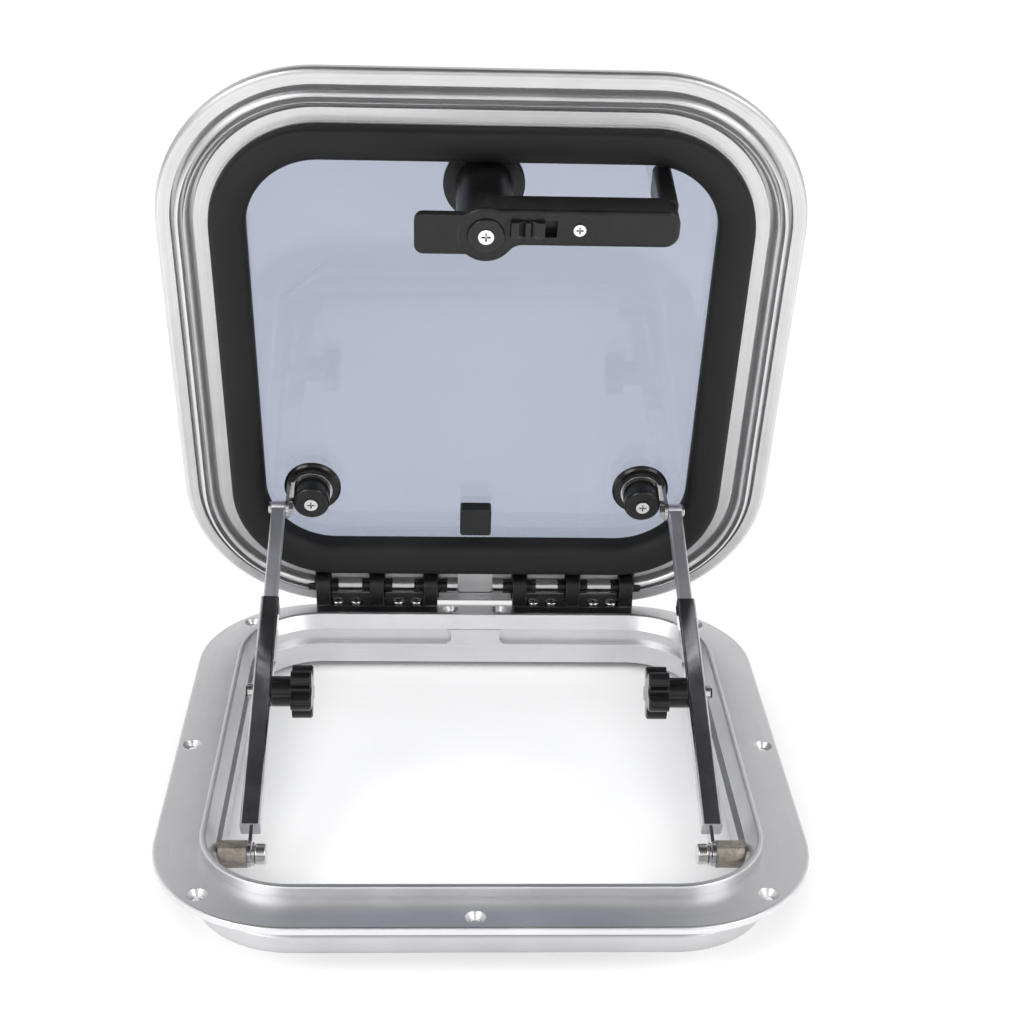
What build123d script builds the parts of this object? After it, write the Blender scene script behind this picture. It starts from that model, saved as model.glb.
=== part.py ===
from build123d import *
import math
import os

# Deck hatch with its lid held open on two telescopic stays.
# Millimetres. Origin at the centre of the deck cut-out on the deck surface (the underside
# of the base flange), +Z up, hinge side at +Y. Lid-side pieces are drawn with the lid shut
# and then swung open about the hinge line by open_angle.

os.makedirs("parts", exist_ok=True)

# ---------------------------------------------------------------- base frame
flange_half = 175.0
flange_radius = 76.0
flange_thick = 4.0
coaming_top = 10.9          # height of the sealing upstand
spigot_inset = 20.0         # flange edge to the outside of the spigot
spigot_bottom = -27.0
groove_top = 2.0            # recessed channel round the inside wall
groove_bottom = -8.5
groove_back_inset = 29.5
wall_inset = 33.5           # flange edge to the inside wall
wall_bottom = -22.0
base_joint_half = 16.0      # joining plate over the butt joint at the rear

# ---------------------------------------------------------------- lid
hinge_y = 170.0
hinge_z = 20.0
open_angle = 77.0
lid_half = 185.0
lid_radius = 94.0
lid_top = 36.5
lens_bottom = 28.0
lens_thick = 8.0
lens_half = 158.5
bond_bottom = 27.5          # top of the lens rebate
barrel_inset = lid_half - hinge_y
seal_outer_inset = 30.2
seal_inner_inset = 51.0
seal_face = 11.0            # touches the coaming when the lid is shut

# ---------------------------------------------------------------- hinges
hinge_centre_x = 65.0
hinge_length = 80.0
hinge_front = 160.5
hinge_back = 171.5
hinge_foot = 5.5
lug_width = 9.0
lug_radius = 8.5
lug_offsets = (-35.5, 0.0, 35.5)
pin_radius = 2.5
running_gap = 0.05
pin_inner_end = 12.5
pin_outer_end = 110.4
sleeve_long = 4.5
sleeve_radius = 3.2
hinge_screw_y = 165.2
hinge_screw_offsets = (-26.0, -14.0, 14.0, 26.0)

# ---------------------------------------------------------------- stays
stay_x = 125.0
pad_x = 105.0
pad_cap_radius = 11.6
clip_ring_radius = 12.8
clip_nut_thick = 2.2
ear_x = 119.3
stay_low_y = -102.0
stay_low_z = -3.25
stay_top_y = 94.0           # upper pivot with the lid shut
stay_top_z = 4.0
outer_start = 16.0          # along the arm from the lower pivot
outer_end = 179.0
outer_wide = 11.0
outer_deep = 10.0
outer_wall = 1.0
inner_start = 94.0
inner_wide = 8.4
inner_deep = 7.4
knob_at = 110.5
stud_radius = 3.0
slide_in = 61.5             # inner tube travel past the clamp stud as the lid shuts
slide_out = 4.3             # and as the lid opens past its rest place

# ---------------------------------------------------------------- handle
handle_y = -117.5
hub_radius = 16.0
hub_face = -33.0
lever_depth = 17.0
lever_reach = 104.0
lever_wide = 21.0
lever_shift = -4.4            # lever centre line, forward of the hub
tab_reach = 38.5
cap_radius = 10.0
plate_middle = 34.5
plate_long = 48.0
plate_wide = 15.5
plate_thick = 1.6
plate_screw_x = 50.0
slot_start = 13.0
slot_long = 25.0


HINGE_LINE = Axis((0, hinge_y, hinge_z), (1, 0, 0))


def swing(y, z, degrees):
    """Turn a point of the shut lid about the hinge line."""
    turn = math.radians(-degrees)
    dy = y - hinge_y
    dz = z - hinge_z
    new_y = hinge_y + dy * math.cos(turn) - dz * math.sin(turn)
    new_z = hinge_z + dy * math.sin(turn) + dz * math.cos(turn)
    return new_y, new_z


def save_fixed(shape, name):
    """Write a piece that is already in its rest place."""
    shape.label = name
    export_step(shape, f"parts/{name}.step")


def save_lifted(shape, name):
    """Write a lid-side piece, swung from shut to the open rest place."""
    lifted = shape.rotate(HINGE_LINE, -open_angle)
    lifted.label = name
    export_step(lifted, f"parts/{name}.step")


def rounded_loop(half, radius, height):
    """Closed square path with round corners, starting at the middle of the front side."""
    flat = half - radius
    with BuildLine(Plane.XY.offset(height)) as loop:
        Line((0, -half), (flat, -half))
        CenterArc((flat, -flat), radius, -90, 90)
        Line((half, -flat), (half, flat))
        CenterArc((flat, flat), radius, 0, 90)
        Line((flat, half), (-flat, half))
        CenterArc((-flat, flat), radius, 90, 90)
        Line((-half, flat), (-half, -flat))
        CenterArc((-flat, -flat), radius, 180, 90)
        Line((-flat, -half), (0, -half))
    return loop.wire()


def section_plane(half):
    """Section plane at the middle of the front side: X runs inward, Y runs up."""
    return Plane(origin=(0, -half, 0), x_dir=(0, 1, 0), z_dir=(1, 0, 0))


# ================================================================ base frame
def build_base_frame():
    flange_holes = (
        (-146, -147), (146, -147), (-146, 147), (146, 147),
        (-166.5, -4), (166.5, -4), (-5, -166), (-16, 167), (16, 167),
    )
    csk_radius = 5.25
    hole_radius = 2.75
    pilot_radius = 2.0
    with BuildPart() as base_frame:
        with BuildSketch(section_plane(flange_half)):
            with BuildLine():
                Polyline(
                    (0, 0), (0, flange_thick), (25, flange_thick), (25, coaming_top),
                    (28, coaming_top), (33, groove_top), (groove_back_inset, groove_top),
                    (groove_back_inset, groove_bottom), (wall_inset, groove_bottom),
                    (wall_inset, wall_bottom), (31, wall_bottom), (31, -11), (27, -11), (27, 0),
                    (22.5, 0), (22.5, spigot_bottom), (spigot_inset, spigot_bottom),
                    (spigot_inset, -18), (21, -16.5), (21, 0), (0, 0),
                )
            make_face()
        sweep(path=rounded_loop(flange_half, flange_radius, 0))
        # soften the flange edge and the coaming rim
        outside = base_frame.edges().filter_by_position(Axis.Z, flange_thick - 0.1, flange_thick + 0.1)
        outside = outside.filter_by(lambda e: max(abs(e.center().X), abs(e.center().Y)) > 152)
        fillet(outside, 1.5)
        rim = base_frame.edges().filter_by_position(Axis.Z, coaming_top - 0.1, coaming_top + 0.1)
        fillet(rim, 1.2)
        with Locations(*[(x, y, flange_thick) for x, y in flange_holes]):
            CounterSinkHole(hole_radius, csk_radius, depth=flange_thick)
        screw_spots = [
            (side * hinge_centre_x + dx, hinge_screw_y, flange_thick)
            for side in (-1, 1) for dx in hinge_screw_offsets
        ]
        with Locations(*screw_spots):
            Hole(pilot_radius + 0.05, depth=flange_thick)
    save_fixed(base_frame.part, "base_frame")


def build_base_joining_plate():
    height = groove_top - groove_bottom
    middle = (groove_top + groove_bottom) / 2
    back = flange_half - groove_back_inset
    front = flange_half - wall_inset
    end_round = 4.0
    with BuildPart() as base_joining_plate:
        with BuildSketch(Plane.XZ.offset(-back)):
            with Locations((0, middle)):
                Rectangle(2 * base_joint_half + 5, height)
            with Locations((-base_joint_half - 10, middle), (base_joint_half + 10, middle)):
                RectangleRounded(20, height - 0.02, end_round, mode=Mode.SUBTRACT)
        extrude(amount=back - front)
    save_fixed(base_joining_plate.part, "base_joining_plate")


# ================================================================ hinges
def build_hinge_block(side, name):
    middle = side * hinge_centre_x
    foot_top = flange_thick + hinge_foot
    with BuildPart() as hinge_block:
        with BuildSketch(Plane.XY.offset(flange_thick)):
            with Locations((middle, (hinge_front + hinge_back) / 2)):
                RectangleRounded(hinge_length, hinge_back - hinge_front, 1.5)
        extrude(amount=hinge_foot)
        for offset in lug_offsets:
            with BuildSketch(Plane.YZ.offset(middle + offset - lug_width / 2)):
                with BuildLine():
                    tail_y = hinge_y + lug_radius * math.cos(math.radians(-50))
                    tail_z = hinge_z + lug_radius * math.sin(math.radians(-50))
                    front_y = hinge_y - lug_radius
                    Line((front_y, flange_thick + 1), (front_y, hinge_z))
                    ThreePointArc((front_y, hinge_z), (hinge_y, hinge_z + lug_radius), (tail_y, tail_z))
                    Line((tail_y, tail_z), (hinge_back, foot_top))
                    Line((hinge_back, foot_top), (hinge_back, flange_thick + 1))
                    Line((hinge_back, flange_thick + 1), (front_y, flange_thick + 1))
                make_face()
            extrude(amount=lug_width)
        with BuildSketch(Plane.YZ.offset(middle - hinge_length)):
            with Locations((hinge_y, hinge_z)):
                Circle(pin_radius + running_gap)
        extrude(amount=2 * hinge_length, mode=Mode.SUBTRACT)
        with Locations(*[(middle + dx, hinge_screw_y, foot_top) for dx in hinge_screw_offsets]):
            Hole(2.15, depth=hinge_foot)
    save_fixed(hinge_block.part, name)


def build_hinge_screws():
    head_base = flange_thick + hinge_foot
    with BuildPart() as hinge_screws:
        spots = [
            (side * hinge_centre_x + dx, hinge_screw_y)
            for side in (-1, 1) for dx in hinge_screw_offsets
        ]
        for x, y in spots:
            with Locations((x, y, head_base - 4.75)):
                Cylinder(2.0, 9.5)
            with Locations((x, y, head_base + 1.1)):
                Cylinder(4.0, 2.2)
            for wide, deep in ((4.4, 0.9), (0.9, 4.4)):
                with Locations((x, y, head_base + 1.8)):
                    Box(wide, deep, 1.2, mode=Mode.SUBTRACT)
        heads = hinge_screws.edges().filter_by(GeomType.CIRCLE)
        heads = heads.filter_by_position(Axis.Z, head_base + 2.1, head_base + 2.3)
        heads = heads.filter_by(lambda e: e.radius > 3.9)
        fillet(heads, 0.8)
    save_fixed(hinge_screws.part, "hinge_screws")


def build_hinge_pins():
    middle = (pin_inner_end + pin_outer_end) / 2
    with BuildPart() as hinge_pins:
        for side in (-1, 1):
            with Locations(Location((side * middle, hinge_y, hinge_z), (0, 90, 0))):
                Cylinder(pin_radius, pin_outer_end - pin_inner_end)
        chamfer(hinge_pins.edges().filter_by(GeomType.CIRCLE), 0.4)
    save_lifted(hinge_pins.part, "hinge_pins")


def build_pin_sleeves():
    """Black spacers beside every lug, in pairs round the pins."""
    with BuildPart() as pin_sleeves:
        for side in (-1, 1):
            edges = []
            for offset in lug_offsets:
                edges.append((hinge_centre_x + offset - lug_width / 2, -1))
                edges.append((hinge_centre_x + offset + lug_width / 2, 1))
            for x, way in edges:
                length = sleeve_long + 1.5 if x < 30 else sleeve_long
                centre = side * (x + way * (0.2 + length / 2))
                with Locations(Location((centre, hinge_y, hinge_z), (0, 90, 0))):
                    Cylinder(sleeve_radius, length)
                    Cylinder(pin_radius + 0.02, length + 2, mode=Mode.SUBTRACT)
    save_lifted(pin_sleeves.part, "pin_sleeves")


# ================================================================ lid
def build_lid_frame():
    barrel = barrel_inset
    with BuildPart() as lid_frame:
        with BuildSketch(section_plane(lid_half)):
            with BuildLine():
                ThreePointArc((0, 24), (3.8, 32.5), (14, lid_top))
                Polyline(
                    (14, lid_top), (26, lid_top), (26, bond_bottom), (44, bond_bottom),
                    (44, 24.5), (30, 24.5), (30, 19.5), (28.8, 19.5), (28.8, 21), (21.5, 21),
                    (21.5, 26), (barrel + 3, 26), (barrel + 3, 22),
                    (barrel - 3, 22), (barrel - 3, 26), (8.5, 26),
                    (8.5, 20.5), (3, 20.5),
                )
                ThreePointArc((3, 20.5), (0.8, 21.6), (0, 24))
            make_face()
            with Locations((barrel, hinge_z)):
                Circle(4.3)
                Circle(pin_radius + running_gap, mode=Mode.SUBTRACT)
            with Locations((barrel, hinge_z - 3)):
                Rectangle(3.0, 4.6, mode=Mode.SUBTRACT)
        sweep(path=rounded_loop(lid_half, lid_radius, 0))
        for side in (-1, 1):
            # room for each lug through the whole swing
            for offset in lug_offsets:
                centre = side * (hinge_centre_x + offset)
                with Locations(Location((centre, hinge_y, hinge_z), (0, 90, 0))):
                    Cylinder(11.6, lug_width + 1.6, mode=Mode.SUBTRACT)
                with Locations((centre, hinge_y + 2, hinge_z - 6)):
                    Box(lug_width + 1.6, 24, 12, mode=Mode.SUBTRACT)
                # the barrel is milled away beside the lug for the spacers
                extra = 4.0 if offset == lug_offsets[0] else 2.0
                with Locations((centre, hinge_y, hinge_z - 0.2)):
                    Box(lug_width + 2 * sleeve_long + extra, 9.2, 9.6, mode=Mode.SUBTRACT)
        # seat of the joining plate at the rear
        with Locations((0, 165.75, 19.5)):
            Box(23, 18.5, 11, mode=Mode.SUBTRACT)
    save_lifted(lid_frame.part, "lid_frame")


def build_lid_joining_plate():
    with BuildPart() as lid_joining_plate:
        with BuildSketch(Plane.XY.offset(19.8)):
            with Locations((0, 165.75)):
                RectangleRounded(22.9, 18.4, 2.5)
        extrude(amount=5.2)
    save_lifted(lid_joining_plate.part, "lid_joining_plate")


def build_lens():
    with BuildPart() as lens:
        with BuildSketch(Plane.XY.offset(lens_bottom)):
            RectangleRounded(2 * lens_half, 2 * lens_half, lid_radius - lid_half + lens_half)
            with Locations((0, handle_y)):
                Circle(11.2, mode=Mode.SUBTRACT)
            with Locations((-pad_x, stay_top_y), (pad_x, stay_top_y)):
                Circle(3.2, mode=Mode.SUBTRACT)
        extrude(amount=lens_thick)
        top_edges = lens.faces().sort_by(Axis.Z)[-1].outer_wire().edges()
        chamfer(top_edges, 0.5)
    save_lifted(lens.part, "lens")


def build_lens_bond():
    """Bead of glazing sealant between the lens and its rebate."""
    outer = lens_half + 0.45
    inner = lid_half - 43.0
    with BuildPart() as lens_bond:
        with BuildSketch(Plane.XY.offset(bond_bottom)):
            RectangleRounded(2 * outer, 2 * outer, lid_radius - lid_half + outer)
            RectangleRounded(2 * inner, 2 * inner, lid_radius - lid_half + inner, mode=Mode.SUBTRACT)
        extrude(amount=lens_bottom - bond_bottom)
    save_lifted(lens_bond.part, "lens_bond")


def build_lid_seal():
    with BuildPart() as lid_seal:
        with BuildSketch(section_plane(lid_half)):
            with BuildLine():
                Line((seal_outer_inset, 24.5), (seal_outer_inset, 14.5))
                ThreePointArc((seal_outer_inset, 14.5), (31.4, 12.1), (33.8, seal_face))
                Line((33.8, seal_face), (42, seal_face))
                Spline(
                    (42, seal_face), (47, 12.6), (seal_inner_inset, 18.5),
                    tangents=((1, 0), (0.35, 1)),
                )
                Polyline(
                    (seal_inner_inset, 18.5), (seal_inner_inset, lens_bottom), (44.2, lens_bottom),
                    (44.2, 24.5), (seal_outer_inset, 24.5),
                )
            make_face()
        sweep(path=rounded_loop(lid_half, lid_radius, 0))
    save_lifted(lid_seal.part, "lid_seal")


def build_keeper_block():
    with BuildPart() as keeper_block:
        with BuildSketch(Plane.XY.offset(lens_bottom - 8)):
            with Locations((-0.5, 117)):
                RectangleRounded(20, 21, 2)
        extrude(amount=8)
        fillet(keeper_block.faces().sort_by(Axis.Z)[0].edges(), 0.8)
    save_lifted(keeper_block.part, "keeper_block")


# ================================================================ stay pads on the lens
def build_pad_discs():
    with BuildPart() as pad_discs:
        for side in (-1, 1):
            with BuildSketch(Plane.XY.offset(lens_bottom - 3)):
                with Locations((side * pad_x, stay_top_y)):
                    Circle(18)
                    Circle(3.2, mode=Mode.SUBTRACT)
            extrude(amount=3)
        rims = pad_discs.edges().filter_by(GeomType.CIRCLE).filter_by(lambda e: e.radius > 17)
        chamfer(rims.filter_by_position(Axis.Z, lens_bottom - 3.1, lens_bottom - 2.9), 1.2)
    save_lifted(pad_discs.part, "pad_discs")


def build_stay_clip(side, name):
    """Flat ring held under the pad cap, with an ear bent down beside the arm."""
    top = lens_bottom - 3
    with BuildPart() as stay_clip:
        with BuildSketch(Plane.XY.offset(top - 2)):
            with Locations((side * pad_x, stay_top_y)):
                Circle(clip_ring_radius)
            with Locations((side * (ear_x - 5), stay_top_y)):
                Rectangle(12, 12)
            with Locations((side * pad_x, stay_top_y)):
                Circle(3.2, mode=Mode.SUBTRACT)
        extrude(amount=2)
        with BuildSketch(Plane.YZ.offset(side * ear_x - 1.0)):
            with Locations((stay_top_y, (top + stay_top_z) / 2)):
                Rectangle(12, top - stay_top_z)
            with Locations((stay_top_y, stay_top_z)):
                Circle(6)
        extrude(amount=2)
    save_lifted(stay_clip.part, name)


def build_pad_caps():
    with BuildPart() as pad_caps:
        for side in (-1, 1):
            with BuildSketch(Plane.XY.offset(lens_bottom - 5)):
                with Locations((side * pad_x, stay_top_y)):
                    Circle(pad_cap_radius)
            extrude(amount=-14.7, taper=1)
            with Locations((side * pad_x, stay_top_y, 15)):
                Cylinder(3.0, 40, mode=Mode.SUBTRACT)
        rims = pad_caps.edges().filter_by(GeomType.CIRCLE).filter_by(lambda e: e.radius > 5)
        fillet(rims.filter_by_position(Axis.Z, 8.2, 8.4), 2.0)
    save_lifted(pad_caps.part, "pad_caps")


def build_pad_screws():
    head_face = 6.9
    with BuildPart() as pad_screws:
        for side in (-1, 1):
            with Locations((side * pad_x, stay_top_y, head_face + 0.7)):
                Cylinder(4.2, 1.4)
            with Locations((side * pad_x, stay_top_y, (head_face + 1 + 37.5) / 2)):
                Cylinder(2.5, 37.5 - head_face - 1)
            for wide, deep in ((4.6, 0.9), (0.9, 4.6)):
                with Locations((side * pad_x, stay_top_y, head_face + 0.4)):
                    Box(wide, deep, 1.0, mode=Mode.SUBTRACT)
    save_lifted(pad_screws.part, "pad_screws")


def build_outer_buttons():
    """Round buttons on the weather side that take the pad screws."""
    lens_top = lens_bottom + lens_thick
    with BuildPart() as outer_buttons:
        for side in (-1, 1):
            with Locations((side * pad_x, stay_top_y, lens_top + 1.75)):
                Cylinder(10, 3.5)
            with Locations((side * pad_x, stay_top_y, lens_top + 0.8)):
                Cylinder(2.55, 1.8, mode=Mode.SUBTRACT)
        rims = outer_buttons.edges().filter_by(GeomType.CIRCLE).filter_by(lambda e: e.radius > 9)
        fillet(rims.filter_by_position(Axis.Z, lens_top + 3.4, lens_top + 3.6), 1.6)
    save_lifted(outer_buttons.part, "outer_buttons")


def build_clip_nuts():
    with BuildPart() as clip_nuts:
        for side in (-1, 1):
            with BuildSketch(Plane.YZ.offset(side * (ear_x - 1))):
                with Locations((stay_top_y, stay_top_z)):
                    RegularPolygon(4.6, 6)
            extrude(amount=-side * clip_nut_thick)
    save_lifted(clip_nuts.part, "clip_nuts")


# ================================================================ handle
def build_handle_bush():
    with BuildPart() as handle_bush:
        with Locations((0, handle_y, lens_bottom - 1.5)):
            Cylinder(23, 3)
        with Locations((0, handle_y, lens_bottom + 3.9)):
            Cylinder(11, 8.2)
        rim = handle_bush.edges().filter_by(GeomType.CIRCLE).filter_by(lambda e: e.radius > 22)
        chamfer(rim.filter_by_position(Axis.Z, lens_bottom - 3.1, lens_bottom - 2.9), 1.0)
        with Locations((0, handle_y, lens_bottom)):
            Cylinder(5.05, 30, mode=Mode.SUBTRACT)
        # flat on the front so the flange clears the seal
        flat_y = seal_inner_inset - lid_half + 0.3
        with Locations((0, flat_y - 5, lens_bottom - 2)):
            Box(60, 10, 6, mode=Mode.SUBTRACT)
    save_lifted(handle_bush.part, "handle_bush")


def build_handle_outer_plate():
    lens_top = lens_bottom + lens_thick
    with BuildPart() as handle_outer_plate:
        with BuildSketch(Plane.XY.offset(lens_top + 1)):
            with Locations((0, handle_y)):
                Circle(21)
        extrude(amount=3)
        rim = handle_outer_plate.edges().filter_by(GeomType.CIRCLE)
        fillet(rim.filter_by_position(Axis.Z, lens_top + 3.9, lens_top + 4.1), 1.5)
        with Locations((0, handle_y, lens_top + 2)):
            Cylinder(8.3, 5, mode=Mode.SUBTRACT)
    save_lifted(handle_outer_plate.part, "handle_outer_plate")


def build_lens_gasket():
    lens_top = lens_bottom + lens_thick
    with BuildPart() as lens_gasket:
        with BuildSketch(Plane.XY.offset(lens_top)):
            with Locations((0, handle_y)):
                Circle(19)
                Circle(12.5, mode=Mode.SUBTRACT)
        extrude(amount=1)
    save_lifted(lens_gasket.part, "lens_gasket")


def build_handle_spindle():
    with BuildPart() as handle_spindle:
        low_end = hub_face + 1.2
        with Locations((0, handle_y, (low_end + 37) / 2)):
            Cylinder(5.0, 37 - low_end)
        with Locations((0, handle_y, low_end + 4)):
            Cylinder(2.55, 9, mode=Mode.SUBTRACT)
        with Locations((0, handle_y, 38.4)):
            Cylinder(8.0, 3.0)
        with Locations((0, handle_y, 39.6)):
            Box(10, 1.6, 1.2, mode=Mode.SUBTRACT)
    save_lifted(handle_spindle.part, "handle_spindle")


def build_handle_lever():
    back = hub_face + lever_depth
    leg_wide = 10.5
    leg_top = 24.2
    neck_top = 24.7
    tab_face = -32.2
    tab_thick = 4.8
    with BuildPart() as handle_lever:
        with BuildSketch(Plane.XY.offset(hub_face)) as outline:
            with Locations((lever_reach / 2, handle_y + lever_shift)):
                Rectangle(lever_reach, lever_wide)
            fillet(outline.vertices().sort_by(Axis.X)[-2:], 8)
            with Locations((0, handle_y)):
                Circle(hub_radius)
            waist = outline.vertices().filter_by(lambda v: 5 < v.X < 20)
            fillet(waist, 9)
        extrude(amount=lever_depth)
        # grip leg turned back toward the lens
        with BuildSketch(Plane.XY.offset(back - 1)):
            with Locations((lever_reach - leg_wide / 2, handle_y + lever_shift)):
                RectangleRounded(leg_wide, lever_wide - 1, 3.5)
        extrude(amount=leg_top - back + 1)
        # neck up to the bush
        with BuildSketch(Plane.XY.offset(back - 1)):
            with Locations((0, handle_y)):
                Circle(hub_radius)
        extrude(amount=neck_top - back + 1)
        face_edges = handle_lever.faces().sort_by(Axis.Z)[0].outer_wire().edges()
        fillet(face_edges, 2.2)
        # latch tab that turns in under the spigot
        with BuildSketch(Plane.XY.offset(tab_face)) as tab:
            with Locations((-tab_reach / 2, handle_y)):
                Rectangle(tab_reach, 23)
            fillet(tab.vertices().sort_by(Axis.X)[:2], 5)
        extrude(amount=tab_thick)
        # spindle bore, cap seat, lock plate seat and slider pocket
        with Locations((0, handle_y, -5)):
            Cylinder(5.02, 70, mode=Mode.SUBTRACT)
        with Locations((0, handle_y, hub_face + 0.5)):
            Cylinder(cap_radius + 0.1, 1.0, mode=Mode.SUBTRACT)
        with BuildSketch(Plane.XY.offset(hub_face)):
            with Locations((plate_middle, handle_y + lever_shift)):
                RectangleRounded(plate_long + 0.2, plate_wide + 0.2, 7.1)
        extrude(amount=plate_thick, mode=Mode.SUBTRACT)
        with Locations((slot_start + slot_long / 2, handle_y + lever_shift, hub_face + 4)):
            Box(slot_long + 2, 10.4, 5, mode=Mode.SUBTRACT)
        with Locations((plate_screw_x, handle_y + lever_shift, hub_face + 4)):
            Cylinder(1.52, 8, mode=Mode.SUBTRACT)
    save_lifted(handle_lever.part, "handle_lever")


def build_handle_cap():
    with BuildPart() as handle_cap:
        with Locations((0, handle_y, hub_face - 0.25)):
            Cylinder(cap_radius, 2.5)
        rim = handle_cap.edges().filter_by(GeomType.CIRCLE)
        fillet(rim.filter_by_position(Axis.Z, hub_face - 1.6, hub_face - 1.4), 0.8)
        with Locations((0, handle_y, hub_face - 1.0)):
            Cylinder(4.6, 1.2, mode=Mode.SUBTRACT)
        with Locations((0, handle_y, hub_face)):
            Cylinder(2.6, 8, mode=Mode.SUBTRACT)
    save_lifted(handle_cap.part, "handle_cap")


def build_handle_screw():
    seat = hub_face - 0.4
    with BuildPart() as handle_screw:
        with Locations((0, handle_y, seat - 0.75)):
            Cylinder(4.3, 1.5)
        with Locations((0, handle_y, seat + 4)):
            Cylinder(2.5, 8)
        for wide, deep in ((4.8, 1.0), (1.0, 4.8)):
            with Locations((0, handle_y, seat - 1.1)):
                Box(wide, deep, 1.0, mode=Mode.SUBTRACT)
    save_lifted(handle_screw.part, "handle_screw")


def build_lock_plate():
    with BuildPart() as lock_plate:
        with BuildSketch(Plane.XY.offset(hub_face)):
            with Locations((plate_middle, handle_y + lever_shift)):
                RectangleRounded(plate_long, plate_wide, 7)
            with Locations((slot_start + slot_long / 2, handle_y + lever_shift)):
                Rectangle(slot_long, 10, mode=Mode.SUBTRACT)
            with Locations((plate_screw_x, handle_y + lever_shift)):
                Circle(1.6, mode=Mode.SUBTRACT)
            with Locations((0, handle_y)):
                Circle(cap_radius + 0.2, mode=Mode.SUBTRACT)
        extrude(amount=plate_thick)
    save_lifted(lock_plate.part, "lock_plate")


def build_lock_slider():
    """Saddle-shaped thumb slide with a foot running in the lever pocket."""
    middle = slot_start + 0.3 + 9
    with BuildPart() as lock_slider:
        with BuildSketch(Plane.XZ.offset(-(handle_y + lever_shift + 4.8))):
            with BuildLine():
                Line((middle - 9, hub_face + 1), (middle - 9, hub_face - 3))
                Line((middle - 9, hub_face - 3), (middle - 5, hub_face - 3))
                ThreePointArc(
                    (middle - 5, hub_face - 3), (middle, hub_face - 0.8), (middle + 5, hub_face - 3)
                )
                Line((middle + 5, hub_face - 3), (middle + 9, hub_face - 3))
                Line((middle + 9, hub_face - 3), (middle + 9, hub_face + 1))
                Line((middle + 9, hub_face + 1), (middle - 9, hub_face + 1))
            make_face()
        extrude(amount=9.6)
        with Locations((middle, handle_y + lever_shift, hub_face - 1.5)):
            Box(2.4, 9.6, 3, mode=Mode.ADD)
        with Locations((middle, handle_y + lever_shift, hub_face + 3.3)):
            Box(16, 9.8, 4.6)
    save_lifted(lock_slider.part, "lock_slider")


def build_lock_plate_screw():
    x = plate_screw_x
    with BuildPart() as lock_plate_screw:
        with Locations((x, handle_y + lever_shift, hub_face - 0.6)):
            Cylinder(3.4, 1.2)
        with Locations((x, handle_y + lever_shift, hub_face + 3.4)):
            Cylinder(1.5, 7)
        for wide, deep in ((3.8, 0.8), (0.8, 3.8)):
            with Locations((x, handle_y + lever_shift, hub_face - 0.9)):
                Box(wide, deep, 0.9, mode=Mode.SUBTRACT)
    save_lifted(lock_plate_screw.part, "lock_plate_screw")


# ================================================================ stays
top_y, top_z = swing(stay_top_y, stay_top_z, open_angle)
arm_length = math.hypot(top_y - stay_low_y, top_z - stay_low_z)
arm_rise = math.degrees(math.atan2(top_z - stay_low_z, top_y - stay_low_y))
shut_length = math.hypot(stay_top_y - stay_low_y, stay_top_z - stay_low_z)
shut_rise = math.degrees(math.atan2(stay_top_z - stay_low_z, stay_top_y - stay_low_y))


def along_arm(side):
    """Plane at the lower pivot: X runs up the arm, Y is across it, Z is sideways."""
    rise = math.radians(arm_rise)
    up_arm = (0, math.cos(rise), math.sin(rise))
    return Plane(origin=(side * stay_x, stay_low_y, stay_low_z), x_dir=up_arm, z_dir=(1, 0, 0))


def build_stay_outer(side, name):
    tab_in = -side * 1.0
    with BuildPart(along_arm(side)) as outer_tube:
        with Locations(((outer_start + outer_end) / 2, 0, 0)):
            Box(outer_end - outer_start, outer_deep, outer_wide)
        long_edges = outer_tube.edges().filter_by(lambda e: e.length > 100)
        fillet(long_edges, 1.6)
        with Locations(((outer_start + outer_end) / 2 + 2, 0, 0)):
            Box(outer_end - outer_start, outer_deep - 2 * outer_wall, outer_wide - 2 * outer_wall,
                mode=Mode.SUBTRACT)
        # clamp stud holes
        with Locations((knob_at, 0, 0)):
            Cylinder(stud_radius + running_gap, 3 * outer_wide, mode=Mode.SUBTRACT)
        # flat end tab round the lower pivot
        with Locations((outer_start / 2 + 0.5, 0, tab_in)):
            Box(outer_start + 1, 8.5, 2)
        with Locations((0, 0, tab_in)):
            Cylinder(6.8, 2)
        with Locations((0, 0, tab_in)):
            Cylinder(2.55, 8, mode=Mode.SUBTRACT)
    save_fixed(outer_tube.part, name)


def build_stay_inner(side, name):
    inner_end = arm_length - 4.0
    with BuildPart(along_arm(side)) as inner_tube:
        with Locations(((inner_start + inner_end) / 2, 0, 0)):
            Box(inner_end - inner_start, inner_deep, inner_wide)
        fillet(inner_tube.edges().filter_by(lambda e: e.length > 100), 1.2)
        with Locations((inner_end, 0, 0)):
            Cylinder(inner_deep / 2, inner_wide)
        with Locations(((inner_start + inner_end) / 2 - 12, 0, 0)):
            Box(inner_end - inner_start, inner_deep - 1.8, inner_wide - 1.8, mode=Mode.SUBTRACT)
        # slot that rides along the clamp stud
        slot_middle = knob_at + (slide_in - slide_out) / 2
        slot_length = slide_in + slide_out + 2 * stud_radius + 1
        with Locations((slot_middle, 0, 0)):
            Box(slot_length, 2 * stud_radius + 0.4, 2 * inner_wide, mode=Mode.SUBTRACT)
        with Locations((arm_length, 0, 0)):
            Cylinder(4.6, inner_wide)
        with Locations((arm_length, 0, 0)):
            Cylinder(2.5, 20, mode=Mode.SUBTRACT)
    save_fixed(inner_tube.part, name)


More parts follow.
